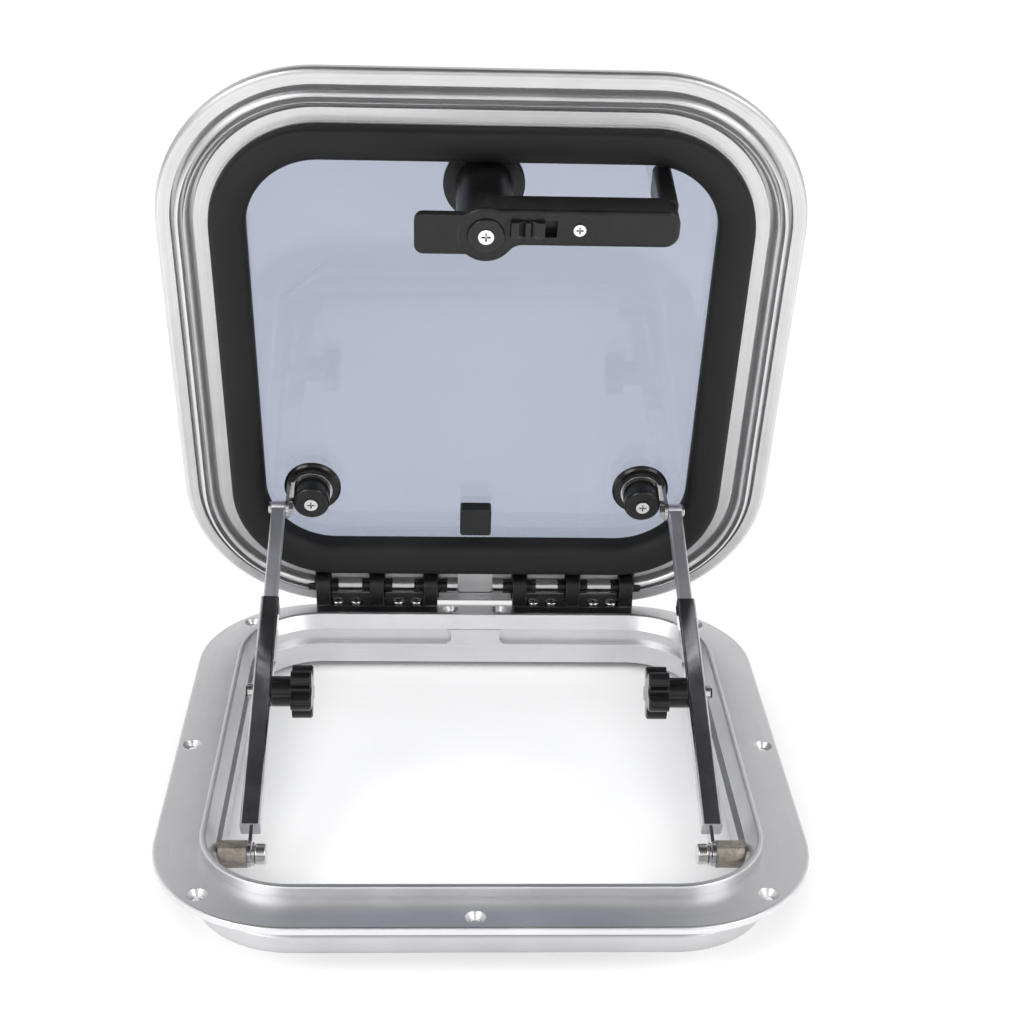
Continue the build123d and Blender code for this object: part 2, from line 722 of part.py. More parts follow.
def build_stay_bolt(side, name):
    """Upper pivot bolt of one stay, carried by the arm."""
    out = side * 1.0
    bolt_head_radius = 3.6
    bolt_head_thick = 2.0
    with BuildPart(along_arm(side)) as top_bolt:
        with Locations((arm_length, 0, 0)):
            Cylinder(2.48, inner_wide)
        with Locations((arm_length, 0, out * (inner_wide + bolt_head_thick) / 2)):
            Cylinder(bolt_head_radius, bolt_head_thick)
        rims = top_bolt.edges().filter_by(GeomType.CIRCLE)
        chamfer(rims.filter_by(lambda e: e.radius > bolt_head_radius - 0.1), 0.5)
    save_fixed(top_bolt.part, name)


def build_stud_nut(side, name):
    out = side * 1.0
    with BuildPart(along_arm(side)) as stud_nut:
        with Locations((knob_at, 0, out * (outer_wide / 2 + 1.25))):
            Cylinder(4.4, 2.5)
            Cylinder(stud_radius + running_gap, 4, mode=Mode.SUBTRACT)
    save_fixed(stud_nut.part, name)


def build_star_knob(side, name):
    """Five-lobed clamp knob with its collar and the stud through the arm."""
    inward = -side
    start = outer_wide / 2 + 0.2
    collar_long = 11.3
    head_thick = 11.8
    stud_out = outer_wide / 2 + 3.7
    stud_in = start + 2
    head_plane = along_arm(side).offset(inward * (start + collar_long))
    with BuildPart(along_arm(side)) as star_knob:
        with BuildSketch(head_plane) as star:
            with Locations((knob_at, 0)):
                Circle(9.6)
                with PolarLocations(10.8, 5, start_angle=90):
                    Circle(5.0)
            fillet(star.vertices(), 1.6)
        extrude(amount=inward * head_thick)
        outer_face = star_knob.faces().filter_by(GeomType.PLANE).sort_by(Axis.X)
        outer_face = outer_face[-1] if inward > 0 else outer_face[0]
        chamfer(outer_face.outer_wire().edges(), 1.0)
        with Locations((knob_at, 0, inward * (start + collar_long / 2))):
            Cylinder(8.8, collar_long)
        with Locations((knob_at, 0, inward * (stud_in - stud_out) / 2)):
            Cylinder(stud_radius, stud_in + stud_out)
    save_fixed(star_knob.part, name)


def build_stay_post(side, name):
    """Hexagonal post off the inside wall, with a round foot in the channel of the frame."""
    post_start = stay_x + 0.3
    post_end = 140.4
    foot_end = 144.6
    with BuildPart() as stay_post:
        with BuildSketch(Plane.YZ.offset(side * post_start)):
            with Locations((stay_low_y, stay_low_z)):
                RegularPolygon(7.4, 6)
        extrude(amount=side * (post_end - post_start))
        with BuildSketch(Plane.YZ.offset(side * (post_end - 1))):
            with Locations((stay_low_y, stay_low_z)):
                Circle(5.0)
        extrude(amount=side * (foot_end - post_end + 1))
        with BuildSketch(Plane.YZ.offset(side * (post_start - 1))):
            with Locations((stay_low_y, stay_low_z)):
                Circle(2.5)
        extrude(amount=side * 14, mode=Mode.SUBTRACT)
    save_fixed(stay_post.part, name)


def build_low_bolts():
    """Lower pivot bolts with round heads, one through each stay tab."""
    with BuildPart() as low_bolts:
        for side in (-1, 1):
            with Locations(Location((side * 129.4, stay_low_y, stay_low_z), (0, 90, 0))):
                Cylinder(2.5, 17)
            with Locations(Location((side * 118.2, stay_low_y, stay_low_z), (0, 90, 0))):
                Cylinder(5.6, 6)
        rims = low_bolts.edges().filter_by(GeomType.CIRCLE).filter_by(lambda e: e.radius > 5)
        fillet(rims, 1.0)
    save_fixed(low_bolts.part, "low_bolts")


def build_low_washers():
    with BuildPart() as low_washers:
        for side in (-1, 1):
            with Locations(Location((side * 121.9, stay_low_y, stay_low_z), (0, 90, 0))):
                Cylinder(6.2, 1.2)
                Cylinder(2.55, 3, mode=Mode.SUBTRACT)
    save_fixed(low_washers.part, "low_washers")


build_base_frame()
build_base_joining_plate()
build_hinge_block(-1, "hinge_block_left")
build_hinge_block(1, "hinge_block_right")
build_hinge_screws()
build_hinge_pins()
build_pin_sleeves()
build_lid_frame()
build_lid_joining_plate()
build_lens()
build_lens_bond()
build_lid_seal()
build_keeper_block()
build_pad_discs()
build_stay_clip(-1, "stay_clip_left")
build_stay_clip(1, "stay_clip_right")
build_pad_caps()
build_pad_screws()
build_outer_buttons()
build_clip_nuts()
build_handle_bush()
build_handle_outer_plate()
build_lens_gasket()
build_handle_spindle()
build_handle_lever()
build_handle_cap()
build_handle_screw()
build_lock_plate()
build_lock_slider()
build_lock_plate_screw()
for hand, word in ((-1, "left"), (1, "right")):
    build_stay_outer(hand, f"stay_outer_{word}")
    build_stay_inner(hand, f"stay_inner_{word}")
    build_stay_bolt(hand, f"stay_bolt_{word}")
    build_stud_nut(hand, f"stud_nut_{word}")
    build_star_knob(hand, f"star_knob_{word}")
    build_stay_post(hand, f"stay_post_{word}")
build_low_bolts()
build_low_washers()
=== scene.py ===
import math
import random

import bpy
from mathutils import Matrix, Vector


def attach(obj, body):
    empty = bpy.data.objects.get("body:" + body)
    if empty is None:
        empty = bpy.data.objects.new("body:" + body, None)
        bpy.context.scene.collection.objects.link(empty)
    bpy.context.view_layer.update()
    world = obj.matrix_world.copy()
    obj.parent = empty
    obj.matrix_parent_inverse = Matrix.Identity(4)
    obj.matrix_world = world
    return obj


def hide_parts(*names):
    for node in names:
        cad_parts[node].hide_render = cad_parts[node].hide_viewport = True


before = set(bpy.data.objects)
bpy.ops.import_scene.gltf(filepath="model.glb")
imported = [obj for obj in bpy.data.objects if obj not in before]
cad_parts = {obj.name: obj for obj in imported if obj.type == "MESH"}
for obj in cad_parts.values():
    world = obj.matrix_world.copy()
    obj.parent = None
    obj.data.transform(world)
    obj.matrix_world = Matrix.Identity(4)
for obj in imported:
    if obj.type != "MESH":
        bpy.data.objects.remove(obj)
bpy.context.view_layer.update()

# ---------------------------------------------------------------- sizes, in metres
HINGE = Vector((0.0, 0.170, 0.020))
OPEN_ANGLE = math.radians(77.0)
BASE_HALF = 0.175
BASE_RADIUS = 0.076
LID_HALF = 0.185
LID_RADIUS = 0.094
FLOOR_LEVEL = -0.0272
FLOOR_REACH = 6.0
HATCH_MIDDLE = Vector((0, 0.05, 0.12))
ARM_RISE = math.radians(21.383)
# outer face of the spigot, from the flange's edge, and the heights where its shaded band fades out
SPIGOT_INSET = 0.0215
SHADE_LOW = -0.0185
SHADE_HIGH = -0.0160
DECK_LEVEL = -0.0001
# one long scratch on the lens, in shut-lid coordinates: y = slope * x + level
SCRATCH_SLOPE = -0.86
SCRATCH_LEVEL = -0.140
SCRATCH_MIDDLE = -0.104
SCRATCH_REACH = 0.014


# ---------------------------------------------------------------- node graph helper
class Graph:
    """Builds one procedural material from nodes."""

    def __init__(self, name):
        self.material = bpy.data.materials.new(name)
        self.material.use_nodes = True
        self.tree = self.material.node_tree
        self.tree.nodes.clear()
        coords = self.tree.nodes.new("ShaderNodeTexCoord")
        self.place = coords.outputs["Object"]

    def put(self, socket, value):
        if isinstance(value, bpy.types.NodeSocket):
            self.tree.links.new(value, socket)
        else:
            socket.default_value = value

    def node(self, kind, values=None, **settings):
        made = self.tree.nodes.new(kind)
        for key, value in settings.items():
            setattr(made, key, value)
        for key, value in (values or {}).items():
            self.put(made.inputs[key], value)
        return made

    def math(self, operation, first, second=0.0, clamp=False):
        made = self.node("ShaderNodeMath", {0: first, 1: second}, operation=operation, use_clamp=clamp)
        return made.outputs[0]

    def split(self, vector):
        return self.node("ShaderNodeSeparateXYZ", {0: vector}).outputs

    def join(self, x, y, z):
        return self.node("ShaderNodeCombineXYZ", {0: x, 1: y, 2: z}).outputs[0]

    def scaled(self, vector, x, y, z):
        made = self.node("ShaderNodeVectorMath", {0: vector, 1: (x, y, z)}, operation="MULTIPLY")
        return made.outputs[0]

    def noise(self, vector, scale, detail=3.0, rough=0.55):
        made = self.node(
            "ShaderNodeTexNoise",
            {"Vector": vector, "Scale": scale, "Detail": detail, "Roughness": rough},
        )
        return made.outputs["Fac"]

    def remap(self, value, low, high, out_low, out_high):
        made = self.node(
            "ShaderNodeMapRange",
            {"Value": value, "From Min": low, "From Max": high, "To Min": out_low, "To Max": out_high},
        )
        return made.outputs[0]

    def mix_colour(self, factor, first, second):
        made = self.node("ShaderNodeMix", {0: factor, 6: first, 7: second}, data_type="RGBA")
        return made.outputs[2]

    def bump(self, height, distance, strength=1.0, normal=None):
        values = {"Height": height, "Distance": distance, "Strength": strength}
        if normal is not None:
            values["Normal"] = normal
        return self.node("ShaderNodeBump", values).outputs[0]

    def soft_normal(self, radius):
        return self.node("ShaderNodeBevel", {"Radius": radius}, samples=4).outputs[0]

    def edge(self, radius):
        """Near 1 on sharp edges and 0 on flats."""
        true_normal = self.node("ShaderNodeNewGeometry").outputs["Normal"]
        product = self.node(
            "ShaderNodeVectorMath", {0: self.soft_normal(radius), 1: true_normal}, operation="DOT_PRODUCT"
        )
        return self.remap(product.outputs["Value"], 0.99, 0.80, 0.0, 1.0)

    def recess_shade(self, distance, low, high):
        """Near 0 deep in a groove or a screw recess, 1 in the open: the mask for painted shade in
        recesses.
        """
        found = self.node("ShaderNodeAmbientOcclusion", {"Distance": distance}, samples=6)
        return self.remap(found.outputs["AO"], low, high, 0.0, 1.0)

    def shut_place(self):
        """Where the point would be with the lid shut."""
        made = self.node(
            "ShaderNodeVectorRotate",
            {"Vector": self.place, "Center": HINGE, "Axis": (1, 0, 0), "Angle": OPEN_ANGLE},
            rotation_type="AXIS_ANGLE",
        )
        return made.outputs[0]

    def inset(self, place, half, radius):
        """Distance inward from the edge of a square with round corners."""
        x, y, _ = self.split(place)
        core = half - radius
        across = self.math("SUBTRACT", self.math("ABSOLUTE", x), core)
        along = self.math("SUBTRACT", self.math("ABSOLUTE", y), core)
        out_x = self.math("POWER", self.math("MAXIMUM", across, 0.0), 2.0)
        out_y = self.math("POWER", self.math("MAXIMUM", along, 0.0), 2.0)
        outside = self.math("SQRT", self.math("ADD", out_x, out_y))
        inside = self.math("MINIMUM", self.math("MAXIMUM", across, along), 0.0)
        return self.math("SUBTRACT", radius, self.math("ADD", outside, inside))

    def finish(self, surface):
        self.node("ShaderNodeOutputMaterial", {"Surface": surface})
        return self.material


def principled(graph, colour, metallic, roughness, normal, **extra):
    values = {"Base Color": colour, "Metallic": metallic, "Roughness": roughness, "Normal": normal}
    values.update(extra)
    shader = graph.node("ShaderNodeBsdfPrincipled", values)
    return graph.finish(shader.outputs[0])


# ---------------------------------------------------------------- metals
def drawn_aluminium(
    name, lid_side, half, radius, dark, light, rough, line_share, groove_shade_colour, groove_reach
):
    """Extruded aluminium: fine lines follow the profile round its corners, over a blasted grain, with
    painted shade in its grooves.
    """
    g = Graph(name)
    place = g.shut_place() if lid_side else g.place
    depth = g.inset(place, half, radius)
    x, y, z = g.split(place)
    drift = g.math("MULTIPLY", g.math("ADD", x, y), 7.0)
    lines_at = g.join(g.math("MULTIPLY", depth, 1300.0), g.math("MULTIPLY", z, 1300.0), drift)
    lines = g.noise(lines_at, 1.0, 4.0, 0.65)
    cloud = g.noise(place, 22.0, 3.0)
    grain = g.noise(place, 2600.0, 2.0)
    worn_and_highlit = g.edge(0.0009)
    cloud_part = g.math("MULTIPLY", cloud, 1.0 - line_share)
    tone = g.math("ADD", g.math("MULTIPLY", lines, line_share), cloud_part)
    colour = g.mix_colour(g.remap(tone, 0.3, 0.7, 0.0, 1.0), dark, light)
    # sharp edges are lightened: partly wear, partly a painted edge highlight
    colour = g.mix_colour(g.math("MULTIPLY", worn_and_highlit, 0.4), colour, (0.90, 0.90, 0.91, 1))
    # painted shade: grooves and recesses are darkened towards the groove shade colour
    colour = g.mix_colour(g.recess_shade(groove_reach, 0.10, 0.60), groove_shade_colour, colour)
    if not lid_side:
        # the top of the spigot's outer face sits in the shade of the flange
        above = g.remap(z, SHADE_LOW, SHADE_HIGH, 0.0, 1.0)
        shaded = g.math("MULTIPLY", above, g.math("LESS_THAN", z, DECK_LEVEL))
        shaded = g.math("MULTIPLY", shaded, g.math("LESS_THAN", depth, SPIGOT_INSET))
        colour = g.mix_colour(g.math("MULTIPLY", shaded, 0.75), colour, (0.10, 0.095, 0.08, 1))
    gloss = g.remap(g.math("ADD", lines, g.math("MULTIPLY", cloud, 0.5)), 0.5, 1.0, rough[0], rough[1])
    height = g.math("ADD", g.math("MULTIPLY", lines, line_share), g.math("MULTIPLY", grain, 0.8))
    normal = g.bump(height, 0.00006, 0.5, g.soft_normal(0.0005))
    return principled(g, colour, 1.0, gloss, normal)


def polished_steel(name, dark, light, rough_low, rough_high, along_arm, shadow=None):
    """Polished steel with faint scratches; a shadow colour darkens its recesses."""
    g = Graph(name)
    place = g.place
    if along_arm:
        turned = g.node(
            "ShaderNodeVectorRotate",
            {"Vector": g.place, "Axis": (1, 0, 0), "Angle": -ARM_RISE},
            rotation_type="AXIS_ANGLE",
        )
        place = turned.outputs[0]
    stretch = (1500.0, 12.0, 1500.0) if along_arm else (500.0, 500.0, 500.0)
    scratch_at = g.scaled(place, *stretch)
    scratches = g.noise(scratch_at, 1.0, 3.0, 0.6)
    smears = g.noise(place, 45.0, 3.0)
    colour = g.mix_colour(g.remap(smears, 0.35, 0.7, 0.0, 1.0), dark, light)
    if shadow is not None:
        colour = g.mix_colour(g.recess_shade(0.0022, 0.45, 0.85), shadow, colour)
    rough = g.remap(g.math("ADD", scratches, smears), 0.7, 1.3, rough_low, rough_high)
    normal = g.bump(scratches, 0.00002, 0.4, g.soft_normal(0.0002 if shadow else 0.0004))
    return principled(g, colour, 1.0, rough, normal)


def turned_metal(name, dark, light):
    """Machined bar with fine turning rings along X and a warm cast."""
    g = Graph(name)
    rings_at = g.scaled(g.place, 5200.0, 60.0, 60.0)
    rings = g.noise(rings_at, 1.0, 2.0)
    stain = g.noise(g.place, 160.0, 4.0)
    colour = g.mix_colour(g.remap(stain, 0.35, 0.65, 0.0, 1.0), dark, light)
    rough = g.remap(g.math("ADD", rings, stain), 0.7, 1.3, 0.22, 0.42)
    normal = g.bump(rings, 0.00003, 0.6, g.soft_normal(0.0004))
    return principled(g, colour, 1.0, rough, normal)


# ---------------------------------------------------------------- black parts
def black_plastic(name, dark, light, worn_colour, rough_low, rough_high, grain_depth, wear):
    """Moulded black plastic with a fine grain and rubbed edges."""
    g = Graph(name)
    grain = g.noise(g.place, 1900.0, 3.0, 0.6)
    cloud = g.noise(g.place, 60.0, 4.0)
    dust = g.remap(g.noise(g.place, 900.0, 5.0, 0.75), 0.66, 0.74, 0.0, 0.35)
    patches = g.remap(g.noise(g.place, 140.0, 4.0), 0.4, 0.65, 0.1, 1.0)
    rub = g.math("MULTIPLY", g.edge(0.0010), patches)
    colour = g.mix_colour(g.remap(cloud, 0.35, 0.7, 0.0, 1.0), dark, light)
    colour = g.mix_colour(g.math("MULTIPLY", rub, wear), colour, worn_colour)
    colour = g.mix_colour(g.math("MULTIPLY", dust, wear), colour, (0.16, 0.16, 0.155, 1))
    rough = g.remap(g.math("ADD", grain, cloud), 0.75, 1.25, rough_low, rough_high)
    normal = g.bump(grain, grain_depth, 0.6, g.soft_normal(0.0005))
    return principled(g, colour, 0.0, rough, normal, **{"Specular IOR Level": 0.38})


def seal_rubber(name):
    """Matte black rubber with an extruded grain and a little chalky dust."""
    g = Graph(name)
    place = g.shut_place()
    depth = g.inset(place, LID_HALF, LID_RADIUS)
    x, y, z = g.split(place)
    drift = g.math("MULTIPLY", g.math("ADD", x, y), 25.0)
    lines_at = g.join(g.math("MULTIPLY", depth, 900.0), g.math("MULTIPLY", z, 900.0), drift)
    lines = g.noise(lines_at, 1.0, 3.0)
    pores = g.noise(place, 1500.0, 4.0, 0.7)
    cloud = g.noise(place, 18.0, 4.0)
    chalk = g.remap(g.noise(place, 420.0, 6.0, 0.8), 0.62, 0.78, 0.0, 0.5)
    tone = g.remap(cloud, 0.35, 0.7, 0.0, 1.0)
    colour = g.mix_colour(tone, (0.004, 0.004, 0.0043, 1), (0.008, 0.008, 0.0085, 1))
    colour = g.mix_colour(chalk, colour, (0.026, 0.026, 0.027, 1))
    height = g.math("ADD", g.math("MULTIPLY", lines, 0.7), g.math("MULTIPLY", pores, 0.6))
    normal = g.bump(height, 0.00012, 0.6)
    rough = g.remap(g.math("ADD", pores, cloud), 0.75, 1.25, 0.50, 0.66)
    return principled(g, colour, 0.0, rough, normal, **{"Specular IOR Level": 0.30})


def glazing_bead(name):
    g = Graph(name)
    ripple = g.noise(g.place, 240.0, 4.0)
    colour = g.mix_colour(ripple, (0.015, 0.015, 0.016, 1), (0.035, 0.035, 0.036, 1))
    return principled(g, colour, 0.0, g.remap(ripple, 0.3, 0.7, 0.35, 0.6), g.bump(ripple, 0.0002, 0.6))


# ---------------------------------------------------------------- lens
def tinted_acrylic(name):
    """Clear tinted sheet: tinted pass-through, a fresnel gloss, handling marks and fine scratches."""
    g = Graph(name)
    place = g.shut_place()
    haze = g.noise(place, 9.0, 4.0)
    marks = g.remap(g.noise(g.scaled(place, 30.0, 5.0, 30.0), 1.0, 5.0, 0.7), 0.60, 0.78, 0.0, 1.0)
    hair_at = g.scaled(place, 1400.0, 18.0, 1.0)
    hairlines = g.remap(g.noise(hair_at, 1.0, 2.0, 0.8), 0.74, 0.80, 0.0, 1.0)
    tint = g.mix_colour(haze, (0.600, 0.626, 0.692, 1), (0.650, 0.674, 0.735, 1))
    tint = g.mix_colour(g.math("MULTIPLY", marks, 0.10), tint, (0.90, 0.91, 0.93, 1))
    through = g.node("ShaderNodeBsdfTransparent", {"Color": tint})
    x, y, _ = g.split(place)
    wander = g.math("MULTIPLY", g.math("SUBTRACT", g.noise(place, 60.0, 2.0), 0.5), 0.0012)
    slant = g.math("ADD", g.math("SUBTRACT", y, g.math("MULTIPLY", x, SCRATCH_SLOPE)), wander)
    beside = g.math("ABSOLUTE", g.math("SUBTRACT", slant, SCRATCH_LEVEL))
    line = g.remap(beside, 0.00035, 0.0, 0.0, 1.0)
    within = g.math("LESS_THAN", g.math("ABSOLUTE", g.math("SUBTRACT", x, SCRATCH_MIDDLE)), SCRATCH_REACH)
    scratch = g.math("MULTIPLY", g.math("MULTIPLY", line, within), 0.35)
    rough = g.remap(g.math("ADD", marks, hairlines), 0.0, 1.0, 0.025, 0.16)
    ripple = g.bump(g.noise(place, 14.0, 2.0), 0.0004, 0.15)
    gloss_values = {"Color": (0.95, 0.96, 1.0, 1), "Roughness": rough, "Normal": ripple}
    gloss = g.node("ShaderNodeBsdfGlossy", gloss_values)
    fresnel = g.node("ShaderNodeFresnel", {"IOR": 1.49})
    clear = g.node(
        "ShaderNodeMixShader", {0: fresnel.outputs[0], 1: through.outputs[0], 2: gloss.outputs[0]}
    )
    film = g.node("ShaderNodeBsdfDiffuse", {"Color": (0.50, 0.54, 0.62, 1)})
    film_amount = g.math("ADD", g.math("MULTIPLY", hairlines, 0.05), g.remap(haze, 0.3, 0.8, 0.010, 0.030))
    film_amount = g.math("ADD", film_amount, scratch)
    surface = g.node("ShaderNodeMixShader", {0: film_amount, 1: clear.outputs[0], 2: film.outputs[0]})
    return g.finish(surface.outputs[0])


# ---------------------------------------------------------------- floor
def pale_floor(name):
    g = Graph(name)
    mottle = g.noise(g.place, 3.0, 3.0)
    colour = g.mix_colour(mottle, (0.90, 0.90, 0.90, 1), (0.94, 0.94, 0.94, 1))
    return principled(g, colour, 0.0, 0.75, g.bump(g.noise(g.place, 300.0), 0.0001, 0.2))


base_metal = drawn_aluminium(
    "base_aluminium", False, BASE_HALF, BASE_RADIUS, (0.63, 0.63, 0.64, 1), (0.76, 0.76, 0.775, 1),
    (0.33, 0.45), 0.42, (0.46, 0.45, 0.41, 1), 0.006,
)
lid_metal = drawn_aluminium(
    "lid_aluminium", True, LID_HALF, LID_RADIUS, (0.50, 0.50, 0.505, 1), (0.70, 0.70, 0.705, 1),
    (0.32, 0.46), 0.60, (0.44, 0.44, 0.44, 1), 0.003,
)
# the joining plate is a much lighter copy of the lid aluminium: painted reflected light from the floor and
# front
plate_painted_bright = drawn_aluminium(
    "plate_aluminium_painted_bright", True, LID_HALF, LID_RADIUS, (0.84, 0.84, 0.84, 1), (0.93, 0.93, 0.93, 1),
    (0.40, 0.52), 0.40, (0.74, 0.74, 0.74, 1), 0.002,
)
# the stay tubes use two copies of one polished stainless: the outer copy is painted darker as shade and
# the inner copy painted lighter as reflected light; the inner copy is also rougher
outer_steel_painted_dark = polished_steel(
    "outer_stainless_painted_dark", (0.46, 0.45, 0.49, 1), (0.66, 0.65, 0.69, 1),
    0.04, 0.12, True,
)
inner_steel_painted_light = polished_steel(
    "inner_stainless_painted_light", (0.72, 0.71, 0.76, 1), (0.86, 0.85, 0.90, 1),
    0.40, 0.50, True,
)
pin_steel = polished_steel(
    "dark_pin", (0.03, 0.03, 0.032, 1), (0.08, 0.08, 0.082, 1),
    0.22, 0.36, False,
)
small_steel = polished_steel(
    "small_stainless", (0.52, 0.51, 0.50, 1), (0.74, 0.73, 0.71, 1),
    0.10, 0.24, False,
)
bright_steel = polished_steel(
    "bright_screw", (0.70, 0.70, 0.68, 1), (0.90, 0.90, 0.88, 1),
    0.14, 0.28, False, (0.03, 0.03, 0.03, 1),
)
post_metal = turned_metal("turned_post", (0.26, 0.23, 0.19, 1), (0.42, 0.385, 0.335, 1))
hinge_black = black_plastic(
    "hinge_black", (0.003, 0.003, 0.003, 1), (0.008, 0.008, 0.008, 1), (0.11, 0.11, 0.11, 1),
    0.30, 0.48, 0.00008, 0.9,
)
handle_black = black_plastic(
    "handle_black", (0.003, 0.003, 0.0032, 1), (0.007, 0.007, 0.0074, 1), (0.06, 0.06, 0.06, 1),
    0.28, 0.40, 0.00005, 0.5,
)
gloss_black = black_plastic(
    "gloss_black", (0.004, 0.004, 0.0045, 1), (0.009, 0.009, 0.0095, 1), (0.04, 0.04, 0.04, 1),
    0.10, 0.22, 0.00002, 0.35,
)
seal_black = seal_rubber("seal_rubber")
bead_black = glazing_bead("glazing_bead")
lens_tint = tinted_acrylic("tinted_acrylic")

FINISHES = {
    "base_frame": base_metal,
    "base_joining_plate": base_metal,
    "lid_frame": lid_metal,
    "lid_joining_plate": plate_painted_bright,
    "lens": lens_tint,
    "lens_bond": bead_black,
    "lens_gasket": bead_black,
    "lid_seal": seal_black,
    "hinge_pins": pin_steel,
    "low_bolts": small_steel,
    "low_washers": small_steel,
    "clip_nuts": small_steel,
    "handle_spindle": small_steel,
    "hinge_screws": bright_steel,
    "pad_screws": bright_steel,
    "handle_screw": bright_steel,
    "lock_plate_screw": bright_steel,
    "hinge_block_left": hinge_black,
    "hinge_block_right": hinge_black,
    "pin_sleeves": hinge_black,
    "keeper_block": hinge_black,
    "handle_lever": handle_black,
    "handle_bush": handle_black,
    "handle_outer_plate": handle_black,
    "lock_plate": handle_black,
    "lock_slider": gloss_black,
    "handle_cap": gloss_black,
    "pad_discs": gloss_black,
    "pad_caps": gloss_black,
    "outer_buttons": gloss_black,
}
for hand in ("left", "right"):
    FINISHES[f"stay_outer_{hand}"] = outer_steel_painted_dark
    FINISHES[f"stay_inner_{hand}"] = inner_steel_painted_light
    FINISHES[f"stay_bolt_{hand}"] = small_steel
    FINISHES[f"stay_clip_{hand}"] = small_steel
    FINISHES[f"stud_nut_{hand}"] = small_steel
    FINISHES[f"stay_post_{hand}"] = post_metal
    FINISHES[f"star_knob_{hand}"] = gloss_black

for name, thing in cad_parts.items():
    thing.data.materials.clear()
    thing.data.materials.append(FINISHES[name])


# ---------------------------------------------------------------- rubber lid seal
def loop_stations(half, radius, per_side, per_corner):
    """Points of a square with round corners, each with its inward direction, from mid front."""
    flat = half - radius
    stations = []
    for quarter in range(4):
        turn = Matrix.Rotation(quarter * math.pi / 2, 3, "Z")
        for step in range(per_side):
            x = -flat + 2 * flat * step / per_side
            stations.append((turn @ Vector((x, -half, 0)), turn @ Vector((0, 1, 0))))
        for step in range(per_corner):
            angle = -math.pi / 2 + (math.pi / 2) * step / per_corner
            way = Vector((math.cos(angle), math.sin(angle), 0))
            stations.append((turn @ (Vector((flat, -flat, 0)) + way * radius), turn @ -way))
    return stations


def bend_through(points, pieces):
    """Smooth curve through the points, with a few steps between each pair."""
    curve = []
    last = len(points) - 1
    for index in range(last):
        before = Vector(points[max(index - 1, 0)])
        start = Vector(points[index])
        end = Vector(points[index + 1])
        after = Vector(points[min(index + 2, last)])
        for step in range(pieces):
            t = step / pieces
            curve.append(0.5 * (
                2 * start + (end - before) * t
                + (2 * before - 5 * start + 4 * end - after) * t * t
                + (3 * start - before - 3 * end + after) * t * t * t
            ))
    curve.append(Vector(points[last]))
    return curve


# the seal's small relief: unevenness, the butt joint at mid front, and the moulding line
SAG_HEIGHT = 0.00004
SAG_WAVES = 5
JOINT_HALF_WIDTH = 0.0012
JOINT_LIFT = 0.00035
CROWN_INSET = 0.0390
CROWN_HALF_WIDTH = 0.006
MOULD_LINE_INSET = 0.0446
MOULD_LINE_WIDTH = 0.0005
MOULD_LINE_DEPTH = 0.00018


def make_seal():
    """Extruded seal: crowned sealing face, soft shoulders, a moulding line and a butt joint."""
    outline = [
        (0.0302, 0.0240), (0.0301, 0.0200), (0.0303, 0.0155), (0.0314, 0.0125), (0.0340, 0.0113),
        (0.0380, 0.0110), (0.0415, 0.0112), (0.0440, 0.0119), (0.0466, 0.0134), (0.0490, 0.0156),
        (0.0504, 0.0180), (0.0509, 0.0205), (0.0509, 0.0240), (0.0507, 0.0276),
    ]
    profile = bend_through(outline, 3)
    stations = loop_stations(LID_HALF, LID_RADIUS, 40, 26)
    swing = Matrix.Translation(HINGE) @ Matrix.Rotation(-OPEN_ANGLE, 4, "X") @ Matrix.Translation(-HINGE)
    draw = random.Random(7)
    waves = [
        (draw.uniform(3, 11), draw.uniform(0, 6.28), draw.uniform(0.4, 1.0)) for _ in range(SAG_WAVES)
    ]
    vertices = []
    for number, (spot, inward) in enumerate(stations):
        turn = 2 * math.pi * number / len(stations)
        sag = sum(size * math.sin(count * turn + shift) for count, shift, size in waves) * SAG_HEIGHT
        near_joint = math.exp(-((spot.x / JOINT_HALF_WIDTH) ** 2)) if spot.y < 0 else 0.0
        for inset_by, height in profile:
            crown = max(0.0, 1.0 - abs(inset_by - CROWN_INSET) / CROWN_HALF_WIDTH)
            from_line = (inset_by - MOULD_LINE_INSET) / MOULD_LINE_WIDTH
            groove = MOULD_LINE_DEPTH * math.exp(-(from_line ** 2))
            lift = (sag + near_joint * JOINT_LIFT) * crown + groove
            vertices.append(swing @ (spot + inward * inset_by + Vector((0, 0, height + lift))))
    faces = []
    wide = len(profile)
    for number in range(len(stations)):
        here = number * wide
        following = ((number + 1) % len(stations)) * wide
        for row in range(wide - 1):
            faces.append((here + row, following + row, following + row + 1, here + row + 1))
        # flat back of the seal against the frame and the lens
        faces.append((here + wide - 1, following + wide - 1, following, here))
    mesh = bpy.data.meshes.new("rubber_seal")
    mesh.from_pydata([tuple(v) for v in vertices], [], faces)
    mesh.validate()
    mesh.update()
    for face in mesh.polygons:
        face.use_smooth = True
    piece = bpy.data.objects.new("rubber_seal", mesh)
    bpy.context.scene.collection.objects.link(piece)
    piece.data.materials.append(seal_black)
    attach(piece, "lid")
    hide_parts("lid_seal")
    return piece


make_seal()


# ---------------------------------------------------------------- floor, light, camera
def make_floor():
    signs = ((-1, -1), (1, -1), (1, 1), (-1, 1))
    corners = [(across * FLOOR_REACH, along * FLOOR_REACH, FLOOR_LEVEL) for across, along in signs]
    mesh = bpy.data.meshes.new("floor")
    mesh.from_pydata(corners, [], [(0, 1, 2, 3)])
    floor = bpy.data.objects.new("floor", mesh)
    bpy.context.scene.collection.objects.link(floor)
    floor.data.materials.append(pale_floor("floor_pale"))


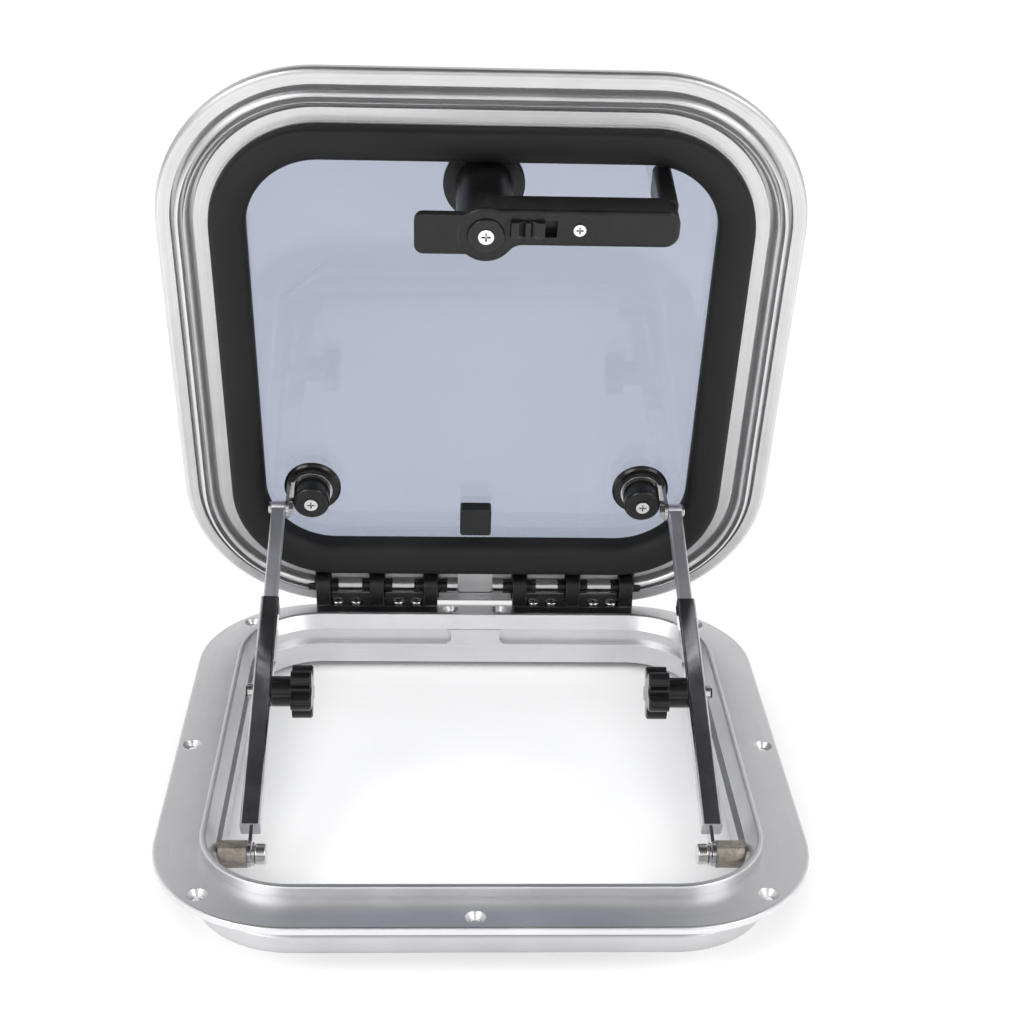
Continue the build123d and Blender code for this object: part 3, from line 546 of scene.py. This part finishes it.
# soft lamps seen only in glossy surfaces: direction and strength, then the cosines of their size
SEEN_LAMPS = (((-0.55, -0.60, 0.58), 4.0), ((0.66, -0.50, 0.56), 3.0))
LAMP_RIM = 0.955
LAMP_CORE = 0.975
# brightness that glossy surfaces see, against the sine of the elevation
SEEN_LEVELS = ((0.0, 0.52), (0.10, 0.42), (0.22, 0.84), (0.60, 0.92), (0.76, 0.24), (1.0, 0.04))
STUDIO_LEVEL = 1.10


def make_world():
    """White studio surround. Glossy surfaces see a bright band at mid height and a dark ceiling."""
    world = bpy.data.worlds.new("studio")
    bpy.context.scene.world = world
    world.use_nodes = True
    tree = world.node_tree
    tree.nodes.clear()
    coords = tree.nodes.new("ShaderNodeTexCoord")
    parts = tree.nodes.new("ShaderNodeSeparateXYZ")
    tree.links.new(coords.outputs["Generated"], parts.inputs[0])
    band = tree.nodes.new("ShaderNodeValToRGB")
    tree.links.new(parts.outputs[2], band.inputs[0])
    ramp = band.color_ramp
    while len(ramp.elements) < len(SEEN_LEVELS):
        ramp.elements.new(0.5)
    for element, (place, level) in zip(ramp.elements, SEEN_LEVELS):
        element.position = place
        element.color = (level, level, level * 1.01, 1)
    glow = band.outputs[0]
    for toward, level in SEEN_LAMPS:
        facing = tree.nodes.new("ShaderNodeVectorMath")
        facing.operation = "DOT_PRODUCT"
        tree.links.new(coords.outputs["Generated"], facing.inputs[0])
        facing.inputs[1].default_value = Vector(toward).normalized()
        spot = tree.nodes.new("ShaderNodeMapRange")
        tree.links.new(facing.outputs["Value"], spot.inputs["Value"])
        spot.inputs["From Min"].default_value = LAMP_RIM
        spot.inputs["From Max"].default_value = LAMP_CORE
        spot.inputs["To Max"].default_value = level
        total = tree.nodes.new("ShaderNodeVectorMath")
        tree.links.new(glow, total.inputs[0])
        tree.links.new(spot.outputs[0], total.inputs[1])
        glow = total.outputs[0]
    path = tree.nodes.new("ShaderNodeLightPath")
    seen = tree.nodes.new("ShaderNodeMix")
    seen.data_type = "RGBA"
    tree.links.new(path.outputs["Is Glossy Ray"], seen.inputs[0])
    seen.inputs[6].default_value = (1.0, 1.0, 1.0, 1)
    tree.links.new(glow, seen.inputs[7])
    back = tree.nodes.new("ShaderNodeBackground")
    tree.links.new(seen.outputs[2], back.inputs[0])
    back.inputs[1].default_value = STUDIO_LEVEL
    out = tree.nodes.new("ShaderNodeOutputWorld")
    tree.links.new(back.outputs[0], out.inputs[0])


def make_light(name, spot, size, energy):
    """Area lamp aimed at the middle of the hatch, hidden from glossy surfaces."""
    data = bpy.data.lights.new(name, "AREA")
    data.shape = "RECTANGLE"
    data.size, data.size_y = size
    data.energy = energy
    light = bpy.data.objects.new(name, data)
    light.location = spot
    aim = HATCH_MIDDLE - Vector(spot)
    light.rotation_euler = aim.to_track_quat("-Z", "Y").to_euler()
    light.visible_glossy = False
    bpy.context.scene.collection.objects.link(light)


def make_camera():
    data = bpy.data.cameras.new("view")
    data.sensor_width = 36.0
    data.lens = 60.46
    data.shift_x = 0.0015
    data.shift_y = 0.1247
    camera = bpy.data.objects.new("view", data)
    camera.location = (-0.0245, -0.8556, 0.5384)
    camera.rotation_euler = (1.0720, -0.0247, -0.0345)
    bpy.context.scene.collection.objects.link(camera)
    bpy.context.scene.camera = camera


make_floor()
make_world()
make_light("key", (-1.5, -0.7, 1.1), (0.9, 1.2), 16.0)
make_light("fill", (1.6, -0.6, 0.9), (0.9, 1.2), 12.0)
make_light("front", (0.1, -1.9, 1.2), (1.6, 0.6), 10.0)
make_camera()
bpy.context.scene.view_settings.view_transform = "Standard"
